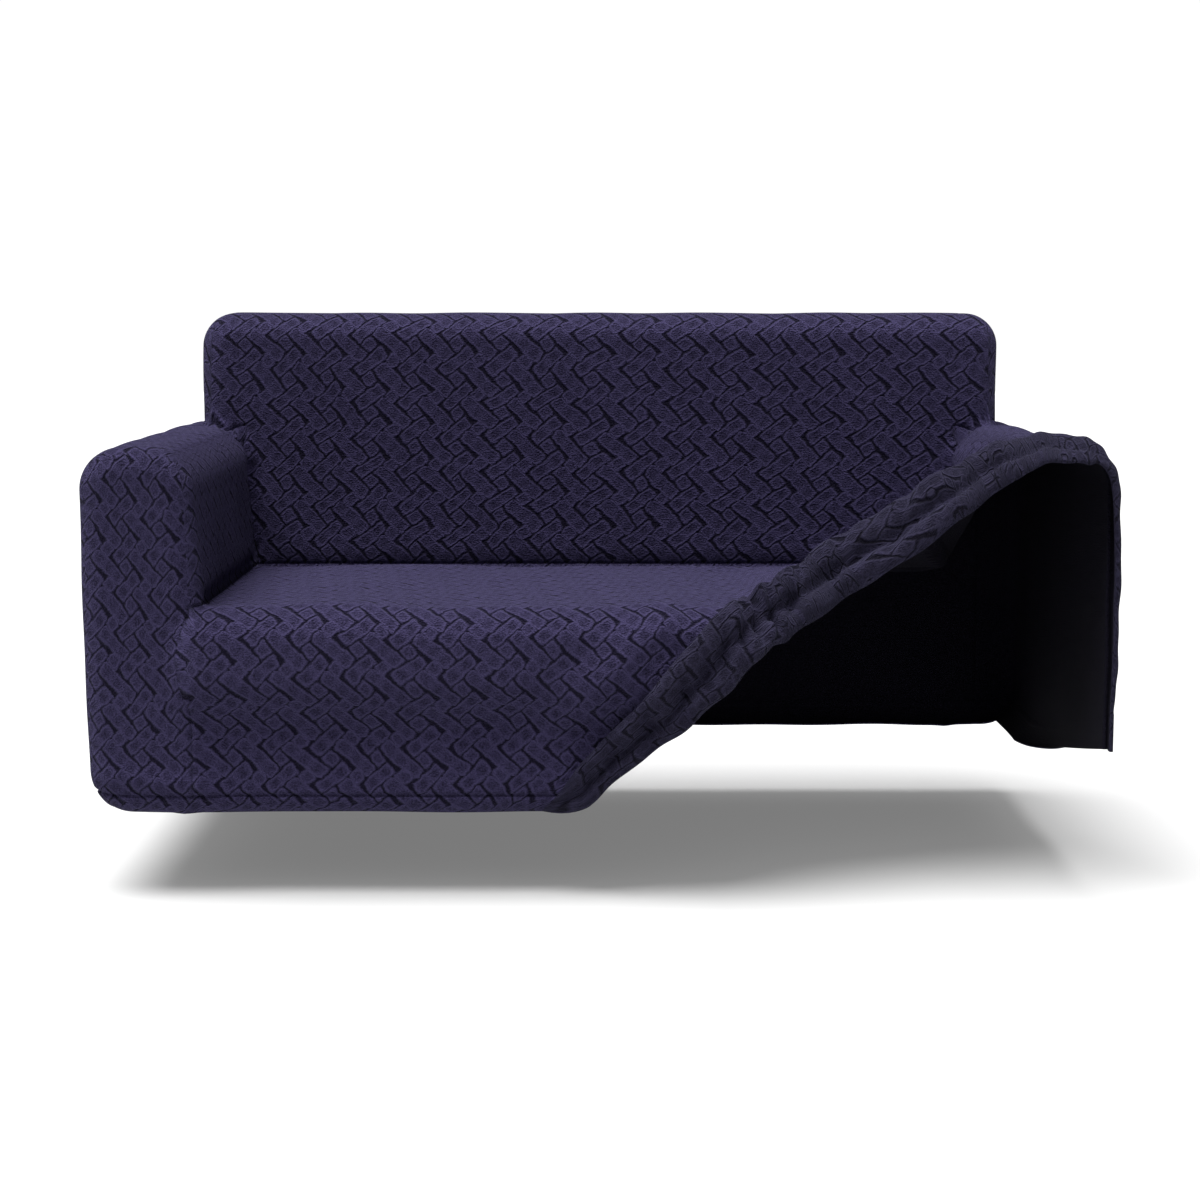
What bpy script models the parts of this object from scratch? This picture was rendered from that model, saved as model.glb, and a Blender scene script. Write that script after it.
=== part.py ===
"""A stretch slipcover for a two-seat sofa: four sewn panels of one knit cloth, with the right front corner
gathered up over the seat. Each panel is an open net laid on the cover's form, then given its thickness.

Metres. X runs across, Y from the front to the back, Z up from the hem. The finished cover hangs from a
point under the middle of its top, and that point is the origin.
"""

import bmesh
import bpy
import numpy as np
from mathutils import Vector, kdtree

# Driving sizes of the form that the cover is drawn over
SIDES = {-1: 0.768, 1: 0.760}  # the arms' outer sides: the cloth is drawn closer on the right
SIDE_LEAN = 0.010
DEPTH = 0.800
ARM_TOP = 0.538
ARM_INNER = 0.603
ARM_LEAN = 0.07  # how fast the arm's inner side comes inwards lower down
BASE_HALF = 0.640
SEAT_TOP = 0.302
SEAT_HALF = 0.626
SEAT_ROLL_FROM = 0.150  # the seat's front rolls forward above this height
NOSE = 0.024  # and stands this far ahead of the arms
BACK_FACE = 0.585
BACK_HALF = 0.682
BACK_TOP = 0.7285
BACK_LEAN = 0.05

# The cloth
THICKNESS = 0.0025
SEAM_GAP = 0.0009
MOUNT_Y = 0.695
MOUNT_BELOW_TOP = 0.0035

# Blocks of the form, in the order in which they are joined. Columns: low and high X, Y and Z, the radius of
# the outline seen from the front, the radius of the front and rear edges, how softly it joins what is there
BOTTOM = -0.010
BLOCKS = {
    "base": (-BASE_HALF, BASE_HALF, 0.003, DEPTH, BOTTOM, 0.250, 0.020, 0.035, 0.010),
    "cushion": (-SEAT_HALF, SEAT_HALF, -NOSE, 0.600, SEAT_ROLL_FROM, SEAT_TOP, 0.045, 0.050, 0.050),
    "left_arm": (-SIDES[-1], -ARM_INNER, 0.000, DEPTH, BOTTOM, ARM_TOP, 0.065, 0.036, 0.010),
    "right_arm": (ARM_INNER, SIDES[1], 0.000, DEPTH, BOTTOM, ARM_TOP, 0.065, 0.036, 0.010),
    "back": (-BACK_HALF, BACK_HALF, BACK_FACE, DEPTH, BOTTOM, BACK_TOP, 0.055, 0.045, 0.008),
}

# Stations of the nets, closer together where the form turns
Z_LOW = [0.045, 0.09, 0.15, 0.22, 0.27, SEAT_TOP]
Z_HIGH = [SEAT_TOP, 0.35, 0.42, 0.475, 0.515, ARM_TOP]
Z_SIDE = Z_LOW + Z_HIGH[1:]
Z_BACK = [ARM_TOP, 0.60, 0.655, 0.690, 0.714, BACK_TOP]
X_ARM = [ARM_INNER, 0.618, 0.645, BACK_HALF, 0.712, 0.742]  # and the outer side
Y_ARM = [0.0, 0.013, 0.036, 0.085, 0.16, 0.24, 0.32, 0.40, 0.48, 0.54, 0.57, BACK_FACE]
Y_REAR = [BACK_FACE, 0.600, 0.628, 0.695, 0.755, 0.784, DEPTH]
X_SEAT_LEFT = [-ARM_INNER, -0.588, -0.562, -0.50, -0.43, -0.36, -0.29, -0.22, -0.15]
SHOULDER = X_ARM.index(BACK_HALF)

# The hem turns under the form's bottom edge. Columns: inwards from the side, height
HEM = [(0.000, 0.020), (0.004, 0.003), (0.014, -0.007), (0.036, BOTTOM)]
HEM_SKEW = 0.8  # how far the hem leans where the gathered edge starts from it

# The gathered edge, from the hem up over the seat and the right arm and down its outer side. Columns: the
# point where the flat cloth starts to rise into the folds, their width and lift, the way that they face
GATHER = [
    (-0.045, -0.001, 0.045, 0.058, 0.015, 0.0, -1.0, 0.0),
    (-0.019, -0.002, 0.078, 0.049, 0.018, 0.0, -1.0, 0.0),
    (0.045, -0.008, 0.145, 0.061, 0.021, 0.0, -1.0, 0.0),
    (0.114, -0.024, 0.227, 0.077, 0.024, 0.0, -1.0, 0.1),
    (0.173, -0.004, 0.283, 0.086, 0.028, 0.0, -1.0, 0.4),
    (0.227, 0.050, 0.309, 0.086, 0.033, 0.0, -0.9, 0.6),
    (0.316, 0.082, 0.359, 0.088, 0.036, 0.0, -0.8, 0.8),
    (0.420, 0.094, 0.418, 0.087, 0.035, 0.0, -0.8, 0.9),
    (0.519, 0.098, 0.481, 0.085, 0.031, 0.0, -0.7, 1.0),
    (0.600, 0.096, 0.522, 0.082, 0.026, 0.0, -0.5, 1.0),
    (0.652, 0.092, 0.537, 0.092, 0.020, 0.0, -0.3, 1.0),
    (0.712, 0.088, 0.537, 0.090, 0.018, 0.2, -0.3, 1.0),
    (0.750, 0.084, 0.514, 0.078, 0.016, 0.8, -0.2, 0.6),
    (0.760, 0.074, 0.445, 0.064, 0.013, 1.0, -0.1, 0.0),
    (0.760, 0.062, 0.320, 0.052, 0.011, 1.0, 0.0, 0.0),
    (0.759, 0.052, 0.215, 0.044, 0.010, 1.0, 0.0, 0.0),
    (0.757, 0.046, 0.138, 0.038, 0.008, 1.0, 0.0, 0.0),
]
# Where along that table the panels' lines meet it, and how firmly it rests on the form there
SEAT_LINES = [0, 0.5, 1, 1.5, 2, 2.4, 2.8, 3.2, 3.6, 4, 4.5, 5, 5.5, 6, 6.5, 7, 7.5, 8, 8.4, 8.7, 9]
ARM_LINES = [9, 9.15, 9.35, 9.6, 9.8, 10, 10.2, 10.45, 10.7, 11, 11.5, 12]
ARM_LINES += [12.3, 12.6, 13, 13.6, 14, 14.3, 14.75, 15.3, 15.7, 16]
RESTS = ((4.0, 1.0), (5.0, 0.0), (9.0, 0.0), (10.0, 1.0))

# Stations along a line that hangs from the gathered edge, as shares of it: as many as the seat's lines have
KNEE = 0.15
HANGING_SHARES = np.array(
    [KNEE * (z - Z_LOW[0]) / (SEAT_TOP - Z_LOW[0]) for z in Z_LOW]
    + [KNEE + (1 - KNEE) * y / BACK_FACE for y in Y_ARM[1:]]
)
SAG = 1.1

# One section across the gathered edge, from the flat cloth to the hem that is curled under it.
# Columns: share of the width, share of the lift
FOLDS = [
    (0.00, 0.00), (0.03, 0.55), (0.11, 0.92), (0.22, 1.00), (0.36, 0.90), (0.48, 0.55), (0.56, 0.48),
    (0.68, 0.78), (0.80, 0.88), (0.93, 0.68), (1.00, 0.30), (0.94, 0.05), (0.80, 0.02),
]  # fmt: skip

# Soft folds and tucks. Columns: one end, the other end, half-width, height (below 0 is a trough)
CREASES = [
    ((-0.55, BACK_FACE, SEAT_TOP), (0.55, BACK_FACE, SEAT_TOP), 0.018, -0.012),
    ((-0.59, 0.06, SEAT_TOP), (-0.59, 0.53, SEAT_TOP), 0.016, -0.010),
    ((-0.60, BACK_FACE, 0.34), (-0.605, BACK_FACE, 0.46), 0.014, -0.008),
    ((0.60, BACK_FACE, 0.37), (0.605, BACK_FACE, 0.46), 0.014, -0.008),
    ((-0.13, -0.01, 0.06), (0.10, -0.02, 0.29), 0.020, 0.006),
    ((-0.18, -0.01, 0.10), (0.02, -0.02, 0.28), 0.024, -0.004),
    ((0.10, 0.02, 0.30), (0.02, 0.40, 0.30), 0.045, 0.006),
    ((0.20, 0.10, 0.31), (0.20, 0.50, 0.30), 0.040, -0.006),
    ((-0.72, 0.00, 0.05), (-0.58, 0.00, 0.03), 0.018, 0.005),
    ((-0.40, 0.05, 0.30), (-0.35, 0.50, 0.30), 0.090, 0.005),
    ((0.66, 0.20, 0.54), (0.63, 0.45, 0.54), 0.035, 0.005),
]

KNIT_COLOUR = (0.034, 0.029, 0.072, 1.0)
KNIT_ROUGHNESS = 0.9


def block_distance(points, x0, x1, y0, y1, z0, z1, outline_radius, end_radius):
    """Distance to a block whose outline seen from the front and whose front and rear edges are rounded."""
    x, y, z = points[..., 0], points[..., 1], points[..., 2]
    across = np.maximum(x0 - x, x - x1) + outline_radius
    up = np.maximum(z0 - z, z - z1) + outline_radius
    outline = np.hypot(np.maximum(across, 0), np.maximum(up, 0)) + np.minimum(np.maximum(across, up), 0)
    outline = outline - outline_radius + end_radius
    along = np.maximum(y0 - y, y - y1) + end_radius
    outside = np.hypot(np.maximum(outline, 0), np.maximum(along, 0))
    return outside + np.minimum(np.maximum(outline, along), 0) - end_radius


def form_distance(points):
    """Distance to the cover's form: the blocks softly joined, with leaning arms and back."""
    arm_lean = ARM_LEAN * (ARM_TOP - points[..., 2])
    side_lean = SIDE_LEAN * (ARM_TOP - points[..., 2])
    back_lean = BACK_LEAN * (points[..., 2] - SEAT_TOP)
    total = None
    for name, (x0, x1, y0, y1, z0, z1, outline_radius, end_radius, softness) in BLOCKS.items():
        if name == "left_arm":
            x0, x1 = x0 + side_lean, x1 + arm_lean
        elif name == "right_arm":
            x0, x1 = x0 - arm_lean, x1 - side_lean
        elif name == "back":
            y0 = y0 + back_lean
        distance = block_distance(points, x0, x1, y0, y1, z0, z1, outline_radius, end_radius)
        if total is None:
            total = distance
            continue
        near = np.maximum(softness - np.abs(total - distance), 0) / softness
        total = np.minimum(total, distance) - near**2 * softness / 4
    return total


def outward(points):
    """Unit vectors that point straight out of the form."""
    steps = np.eye(3) * 0.0005
    slope = np.stack([form_distance(points + step) - form_distance(points - step) for step in steps], axis=-1)
    return slope / np.maximum(np.linalg.norm(slope, axis=-1, keepdims=True), 1e-9)


def settle(points):
    """The points moved onto the form's surface."""
    for _ in range(8):
        points = points - form_distance(points)[..., None] * outward(points)
    return points


def creased(points):
    """The points raised or sunk by the soft folds that they lie on."""
    faces = outward(points)
    lifted = points.copy()
    for start, end, half_width, height in CREASES:
        start, run = np.array(start), np.array(end) - np.array(start)
        along = np.clip((points - start) @ run / (run @ run), 0, 1)
        distance = np.linalg.norm(points - start - along[..., None] * run, axis=-1)
        lifted += (height * np.exp(-((distance / half_width) ** 2)))[..., None] * faces
    return lifted


def fitted(points):
    """The points drawn onto the form, with its folds."""
    return creased(settle(points))


def net(place, rows, columns):
    """A net of points: place(row, column) at each pair of stations."""
    return np.array([[place(row, column) for column in columns] for row in rows], dtype=float)


def between(start, end, shares):
    """Points on the line from start to end."""
    start, end = np.array(start, dtype=float), np.array(end, dtype=float)
    return start + (end - start) * np.array(shares)[:, None]


def shares_of(stations):
    """Stations as shares of the way from the first to the last."""
    return [(station - stations[0]) / (stations[-1] - stations[0]) for station in stations]


def gather_row(position):
    """The gathered edge's row at a fractional position, on a smooth curve through the table's rows."""
    table = np.array(GATHER)
    index = min(int(position), len(table) - 2)
    part = position - index
    p0, p1, p2, p3 = table[[max(index - 1, 0), index, index + 1, min(index + 2, len(table) - 1)]]
    bend = 2 * p0 - 5 * p1 + 4 * p2 - p3
    twist = 3 * p1 - p0 - 3 * p2 + p3
    return 0.5 * (2 * p1 + (p2 - p0) * part + bend * part**2 + twist * part**3)


def gather_start(position):
    """The point where the flat cloth starts to rise into the folds."""
    point = gather_row(position)[:3]
    rests = np.interp(position, *zip(*RESTS))
    return point + (fitted(point[None])[0] - point) * rests


def hem_rows(edge):
    """The rows of the hem below a row of points. It turns under, and hangs free where the edge is raised."""
    facing = outward(edge) * np.array((1, 1, 0))
    facing /= np.maximum(np.linalg.norm(facing, axis=-1, keepdims=True), 1e-9)
    held = 1 - np.clip((edge[:, 2] - Z_LOW[0]) / 0.04, 0, 1)[:, None]
    skew = HEM_SKEW * np.clip(1 - np.hypot(edge[:, 0] - GATHER[0][0], edge[:, 1]) / 0.12, 0, 1)
    rows = [edge]
    for inwards, height in HEM:
        row = edge + (0, 0, height - Z_LOW[0])
        row[:, 0] += skew * (height - Z_LOW[0])
        rows.append(row + (fitted(row - facing * inwards) - row) * held)
    return np.array(rows)


def spread(rows, count):
    """The rows re-spaced to another count of rows."""
    places = np.linspace(0, len(rows) - 1, count)
    before = np.minimum(places.astype(int), len(rows) - 2)
    share = (places - before)[:, None, None]
    return rows[before] * (1 - share) + rows[before + 1] * share


def gather_section(position):
    """The points of one section across the gathered edge."""
    row = gather_row(position)
    last = len(GATHER) - 1
    way = (gather_row(min(position + 0.05, last)) - gather_row(max(position - 0.05, 0)))[:3]
    across = np.cross(way, row[5:8])
    across /= np.linalg.norm(across)
    # At the hem the folds end level with it, so the section there hangs straight down.
    upright = max(0.0, 1 - position / 1.5)
    across = across * (1 - upright) + np.array((0.15, 0, -1)) * upright
    across /= np.linalg.norm(across)
    face = np.cross(across, way)
    face /= np.linalg.norm(face)
    lift = row[4] * (1 + 0.10 * np.sin(position * 5.1) + 0.06 * np.sin(position * 11.3 + 1))
    width = row[3] * (1 + 0.05 * np.sin(position * 7.7 + 2))
    section = np.array([gather_start(position) + across * a * width + face * h * lift for a, h in FOLDS])
    # The folds grow out of the hem, so the first section has the hem's own shape.
    turned = spread(hem_rows(section[:1]), len(FOLDS))[:, 0]
    return section + (turned - section) * max(0.0, 1 - position / 0.8) ** 2


def panel(nets):
    """One open cloth panel: its nets joined where they meet, facing outwards."""
    bm = bmesh.new()
    for points in nets:
        rows, columns = points.shape[:2]
        verts = [[bm.verts.new(points[i, j]) for j in range(columns)] for i in range(rows)]
        for i in range(rows - 1):
            for j in range(columns - 1):
                bm.faces.new((verts[i][j], verts[i][j + 1], verts[i + 1][j + 1], verts[i + 1][j]))
    bmesh.ops.remove_doubles(bm, verts=bm.verts, dist=0.00005)
    bmesh.ops.recalc_face_normals(bm, faces=bm.faces)
    centres = np.array([face.calc_center_median() for face in bm.faces])
    normals = np.array([face.normal for face in bm.faces])
    if (normals * outward(centres)).sum() < 0:
        bmesh.ops.reverse_faces(bm, faces=bm.faces)
    bm.normal_update()
    return bm


def seam_pull(vert):
    """How far a panel's vertex is drawn in from the seam that it lies on."""
    if not vert.is_boundary:
        return Vector()
    rim = [(edge.other_vert(vert).co - vert.co).normalized() for edge in vert.link_edges if edge.is_boundary]
    inner = [(edge.other_vert(vert).co - vert.co).normalized() for edge in vert.link_edges if not edge.is_boundary]
    if not inner:
        return sum(rim, Vector()) * SEAM_GAP / 2
    along = (rim[0] - rim[-1]).normalized()
    way = sum(inner, Vector())
    return (way - along * way.dot(along)).normalized() * SEAM_GAP / 2


def thickened(panels):
    """Solid cloth from the open panels. Panels that meet at a seam share the direction of its side walls."""
    everywhere = [vert for bm in panels.values() for vert in bm.verts]
    tree = kdtree.KDTree(len(everywhere))
    for number, vert in enumerate(everywhere):
        tree.insert(vert.co, number)
    tree.balance()
    for name, bm in panels.items():
        bm.verts.index_update()
        count = len(bm.verts)
        outer, inner = [], []
        for vert in bm.verts:
            shared = [everywhere[number].normal for _, number, _ in tree.find_range(vert.co, 0.0001)]
            outer.append(vert.co + seam_pull(vert))
            inner.append(outer[-1] - sum(shared, Vector()).normalized() * THICKNESS)
        faces = [[vert.index for vert in face.verts] for face in bm.faces]
        faces += [[vert.index + count for vert in reversed(face.verts)] for face in bm.faces]
        for edge in bm.edges:
            if edge.is_boundary:
                loop = edge.link_loops[0]
                start, end = loop.vert.index, loop.link_loop_next.vert.index
                faces.append([end, start, start + count, end + count])
        mesh = bpy.data.meshes.new(name)
        mesh.from_pydata(outer + inner, [], faces)
        mesh.shade_smooth()
        yield bpy.data.objects.new(name, mesh)


def seat_seam(z):
    """The apron's side edge at a height. It runs round the seat's roll, where that overhangs the arm."""
    return ARM_INNER + 0.016 * max(0.0, 1 - abs(z - 0.225) / 0.07)


def hanging_line(start, rear):
    """A line of cloth from the gathered edge to the rear, which drops towards the seat as it goes back."""
    points = between(start, rear, HANGING_SHARES)
    points[:, 2] = rear[2] + (start[2] - rear[2]) * (1 - HANGING_SHARES) ** SAG
    return points


def laid(points, line):
    """A line from the gathered edge, at rest on the form towards the rear and wherever else the cloth rests."""
    rests = np.maximum(np.interp(line, *zip(*RESTS)), np.clip(2 * points[:, 1] / BACK_FACE - 1, 0, 1))
    points = points + (settle(points) - points) * rests[:, None]
    inside = np.minimum(form_distance(points), 0)
    points = creased(points - inside[:, None] * outward(points))
    points[0] = gather_start(line)
    return points


def seat_line(line):
    """One line of the seat panel, from the gathered edge up the apron and back over the seat."""
    start = gather_row(line)[:3]
    rear = np.array((start[0] * ARM_INNER / gather_row(SEAT_LINES[-1])[0], BACK_FACE, SEAT_TOP))
    if start[2] > SEAT_TOP:
        points = hanging_line(start, rear)
    else:
        # The knee is the seat's front edge, and moves back where the cloth starts close below it.
        rise = np.clip((start[2] - 0.20) / 0.10, 0, 1)
        knee = np.array((start[0], -NOSE + rise * (start[1] + KNEE * BACK_FACE + NOSE), SEAT_TOP))
        points = np.concatenate([between(start, knee, shares_of(Z_LOW)), between(knee, rear, shares_of(Y_ARM))[1:]])
    return laid(points, line)


def seat_panel():
    """The front apron, the seat and the gathered edge as far as the right arm."""
    nose = [0.0 if z < SEAT_ROLL_FROM else -NOSE for z in Z_LOW]
    lines = []
    for x in X_SEAT_LEFT:
        if x == -ARM_INNER:
            front = [(-seat_seam(z), 0, z) for z in Z_LOW]
        else:
            front = [(x, y, z) for y, z in zip(nose, Z_LOW)]
        deck = [(x, y, SEAT_TOP) for y in Y_ARM[1:]]
        lines.append(fitted(np.array(front + deck, dtype=float)))
    flat_lines = len(lines)
    lines += [seat_line(line) for line in SEAT_LINES]
    sheet = np.array(lines).transpose(1, 0, 2)
    hem = spread(hem_rows(sheet[0, : flat_lines + 1]), len(FOLDS))
    gathered = np.array([gather_section(line) for line in SEAT_LINES])
    return panel([sheet, hem, gathered])


def arm_section(side):
    """The corners of an arm's section, from the seat up, over its top and down to the hem."""
    inner = [(side * ARM_INNER, z) for z in Z_HIGH]
    top = [(side * x, ARM_TOP) for x in X_ARM[1:] + [SIDES[side]]]
    outer = [(side * SIDES[side], z) for z in reversed(Z_SIDE[:-1])]
    return inner + top + outer


def arm_rear(side):
    """An arm behind the back's front face: its outer top and side, then the return across the rear."""
    shoulder = arm_section(side)[len(Z_HIGH) - 1 + SHOULDER :]
    outer = fitted(np.array([[(x, y, z) for y in Y_REAR] for x, z in shoulder]))
    rear = fitted(net(lambda z, x: (side * x, DEPTH, z), Z_SIDE, X_ARM[SHOULDER:] + [SIDES[side]]))
    return [outer, rear, hem_rows(outer[-1]), hem_rows(rear[0])]


def left_arm_panel():
    """The left arm, with its front."""
    section = arm_section(-1)
    sides = fitted(np.array([[(x, y, z) for y in Y_ARM] for x, z in section], dtype=float))
    front_x = X_ARM + [SIDES[-1]]
    front = fitted(net(lambda z, x: (-seat_seam(z) if x == ARM_INNER else -x, 0, z), Z_SIDE, front_x))
    nets = [sides, front, hem_rows(sides[-1]), hem_rows(front[0])]
    return panel(nets + arm_rear(-1))


def right_arm_panel():
    """The right arm behind the gathered edge, which is its front."""
    lines = []
    for line, (x, z) in zip(ARM_LINES, arm_section(1)):
        lines.append(laid(hanging_line(gather_row(line)[:3], np.array((x, BACK_FACE, z))), line))
    sides = np.array(lines)
    gathered = [gather_section(line) for line in ARM_LINES]
    gathered = np.array(gathered + [gathered[-1] + (0, 0, height - Z_LOW[0]) for _, height in HEM])
    return panel([sides, gathered, hem_rows(sides[-1])] + arm_rear(1))


def back_panel():
    """The inside back, the top, the two ends and the outside back."""
    seat_x = X_SEAT_LEFT + [seat_line(line)[-1][0] for line in SEAT_LINES[:-1]] + [ARM_INNER]
    shoulder_x = X_ARM[1 : SHOULDER + 1]
    all_x = [-x for x in reversed(shoulder_x)] + seat_x + shoulder_x
    flat = [
        net(lambda z, x: (x, BACK_FACE, z), Z_HIGH, seat_x),
        net(lambda z, x: (x, BACK_FACE, z), Z_BACK, all_x),
        net(lambda y, x: (x, y, BACK_TOP), Y_REAR, all_x),
        net(lambda z, x: (x, DEPTH, z), Z_BACK, all_x),
        net(lambda z, x: (x, DEPTH, z), Z_SIDE, all_x),
    ]
    flat += [net(lambda z, y, side=side: (side * BACK_HALF, y, z), Z_BACK, Y_REAR) for side in (-1, 1)]
    nets = [fitted(points) for points in flat]
    return panel(nets + [hem_rows(nets[4][0])])


def knit_material(name):
    """The navy knit."""
    material = bpy.data.materials.new(name)
    material.use_nodes = True
    shader = material.node_tree.nodes["Principled BSDF"]
    shader.inputs["Base Color"].default_value = KNIT_COLOUR
    shader.inputs["Roughness"].default_value = KNIT_ROUGHNESS
    shader.inputs["Metallic"].default_value = 0.0
    return material


def build():
    for obj in list(bpy.data.objects):
        bpy.data.objects.remove(obj)
    cover = bpy.data.collections.new("sofa_slipcover")
    bpy.context.scene.collection.children.link(cover)
    hanging_point = bpy.data.objects.new("hanging_point", None)
    hanging_point.location = (0, -MOUNT_Y, MOUNT_BELOW_TOP - BACK_TOP)
    cover.objects.link(hanging_point)
    panels = {
        "seat_panel": seat_panel(),
        "left_arm_panel": left_arm_panel(),
        "right_arm_panel": right_arm_panel(),
        "back_panel": back_panel(),
    }
    for obj in thickened(panels):
        obj.parent = hanging_point
        obj.data.materials.append(knit_material(obj.name + "_knit"))
        cover.objects.link(obj)


build()
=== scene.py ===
import math

import bmesh
import bpy
import numpy as np
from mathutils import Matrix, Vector


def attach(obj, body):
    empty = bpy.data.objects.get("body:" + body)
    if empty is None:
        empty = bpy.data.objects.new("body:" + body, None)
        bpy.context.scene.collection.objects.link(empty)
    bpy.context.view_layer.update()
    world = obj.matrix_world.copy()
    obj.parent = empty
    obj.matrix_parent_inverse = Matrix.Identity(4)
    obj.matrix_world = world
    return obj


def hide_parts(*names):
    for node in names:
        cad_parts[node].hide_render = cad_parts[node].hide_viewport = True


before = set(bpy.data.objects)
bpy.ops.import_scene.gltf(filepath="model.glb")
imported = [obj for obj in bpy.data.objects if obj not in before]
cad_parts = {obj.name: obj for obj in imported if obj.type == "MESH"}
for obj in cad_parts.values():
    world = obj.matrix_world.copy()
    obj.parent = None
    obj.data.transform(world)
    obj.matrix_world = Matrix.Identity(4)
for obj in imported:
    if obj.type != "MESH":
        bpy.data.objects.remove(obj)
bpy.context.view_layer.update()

# Floor, light and camera. The cover hangs with its hem 125 mm above a pale floor, and the camera stands level
# with the back's top, tilted down a little.
floor_level, floor_half_width, floor_front, floor_rear = -0.860, 14, -9, 19
floor_grey, floor_glow = (0.42, 0.42, 0.42, 1), 0.19
sky_everywhere, backdrop_white = 0.04, (1.02, 1.02, 1.02, 1)
sky_lights = [((0, -1, 0), 0.22), ((-0.2, -0.1, 1.0), 0.9)]  # the way to the light, its strength
sky_light_edge = 0.35  # the cosine from which such a light begins
sun_strength, sun_width, sun_way = 7.0, 46, (0.20, 0.12, -1.0)
camera_place, camera_tilt, sensor_width = (0.0, -4.095, 0.025), 7.3, 36
focal_length, picture_width = 2336, 1200  # in pixels

camera = bpy.data.objects.new("camera", bpy.data.cameras.new("camera"))
camera.location = camera_place
camera.rotation_euler = (math.radians(90 - camera_tilt), 0, 0)
camera.data.sensor_width = sensor_width
camera.data.lens = sensor_width * focal_length / picture_width
bpy.context.scene.collection.objects.link(camera)
bpy.context.scene.camera = camera

floor_mesh = bpy.data.meshes.new("floor")
floor_corners = [
    (-floor_half_width, floor_front, floor_level), (floor_half_width, floor_front, floor_level),
    (floor_half_width, floor_rear, floor_level), (-floor_half_width, floor_rear, floor_level),
]
floor_mesh.from_pydata(floor_corners, [], [(0, 1, 2, 3)])
floor = bpy.data.objects.new("floor", floor_mesh)
bpy.context.scene.collection.objects.link(floor)
floor_paper = bpy.data.materials.new("floor_paper")
floor_paper.use_nodes = True
paper_shader = floor_paper.node_tree.nodes["Principled BSDF"]
paper_shader.inputs["Base Color"].default_value = floor_grey
paper_shader.inputs["Roughness"].default_value = 0.9
paper_shader.inputs["Specular IOR Level"].default_value = 0.1
paper_shader.inputs["Emission Color"].default_value = (1.0, 1.0, 1.0, 1)
paper_shader.inputs["Emission Strength"].default_value = floor_glow
floor_mesh.materials.append(floor_paper)


class Shade:
    """What varies over the sky or the cloth: a shader socket that sums can be written with."""

    tree = None

    def __init__(self, socket):
        self.socket = socket

    @classmethod
    def node(cls, kind, settings=(), sockets=()):
        """A new node with its settings, then with the values or links of its sockets."""
        made = cls.tree.nodes.new(kind)
        for name, value in dict(settings).items():
            setattr(made, name, value)
        for name, value in dict(sockets).items():
            if isinstance(value, Shade):
                cls.tree.links.new(value.socket, made.inputs[name])
            else:
                made.inputs[name].default_value = value
        return made

    @classmethod
    def sum_of(cls, operation, *values):
        """The result of a Math node."""
        return cls(cls.node("ShaderNodeMath", {"operation": operation}, enumerate(values)).outputs[0])

    def __add__(self, other):
        return Shade.sum_of("ADD", self, other)

    def __radd__(self, other):
        return Shade.sum_of("ADD", other, self)

    def __sub__(self, other):
        return Shade.sum_of("SUBTRACT", self, other)

    def __rsub__(self, other):
        return Shade.sum_of("SUBTRACT", other, self)

    def __mul__(self, other):
        return Shade.sum_of("MULTIPLY", self, other)

    def __rmul__(self, other):
        return Shade.sum_of("MULTIPLY", other, self)

    def __abs__(self):
        return Shade.sum_of("ABSOLUTE", self)

    def above(self, low, high):
        """0 below low, 1 above high, and a smooth slope between them."""
        sockets = {"Value": self, "From Min": low, "From Max": high}
        smooth = Shade.node("ShaderNodeMapRange", {"interpolation_type": "SMOOTHSTEP"}, sockets)
        return Shade(smooth.outputs[0])


studio = bpy.data.worlds.new("studio")
studio.use_nodes = True
Shade.tree = studio.node_tree
# soft light: a little from everywhere, some from the front and most of it from above
sky_way = Shade(Shade.node("ShaderNodeTexCoord").outputs["Generated"])
soft_light = sky_everywhere
for light_from, strength in sky_lights:
    facing_it = Shade.node("ShaderNodeVectorMath", {"operation": "DOT_PRODUCT"}, {0: sky_way, 1: light_from})
    soft_light = soft_light + Shade(facing_it.outputs["Value"]).above(sky_light_edge, 1.0) * strength
sky = studio.node_tree.nodes["Background"]
sky.inputs["Color"].default_value = (1.0, 1.0, 1.0, 1)
studio.node_tree.links.new(soft_light.socket, sky.inputs["Strength"])
backdrop = Shade.node("ShaderNodeBackground", (), {"Color": backdrop_white})
seen = Shade.node("ShaderNodeLightPath")
either = Shade.node("ShaderNodeMixShader", (), {
    0: Shade(seen.outputs["Is Camera Ray"]), 1: Shade(sky.outputs[0]), 2: Shade(backdrop.outputs[0]),
})
studio.node_tree.links.new(either.outputs[0], studio.node_tree.nodes["World Output"].inputs[0])
bpy.context.scene.world = studio
bpy.context.scene.view_settings.view_transform = "Standard"

overhead = bpy.data.lights.new("overhead_light", "SUN")
overhead.energy = sun_strength
overhead.angle = math.radians(sun_width)
overhead_lamp = bpy.data.objects.new("overhead_light", overhead)
overhead_lamp.rotation_euler = Vector(sun_way).to_track_quat("-Z", "Y").to_euler()
bpy.context.scene.collection.objects.link(overhead_lamp)

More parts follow.
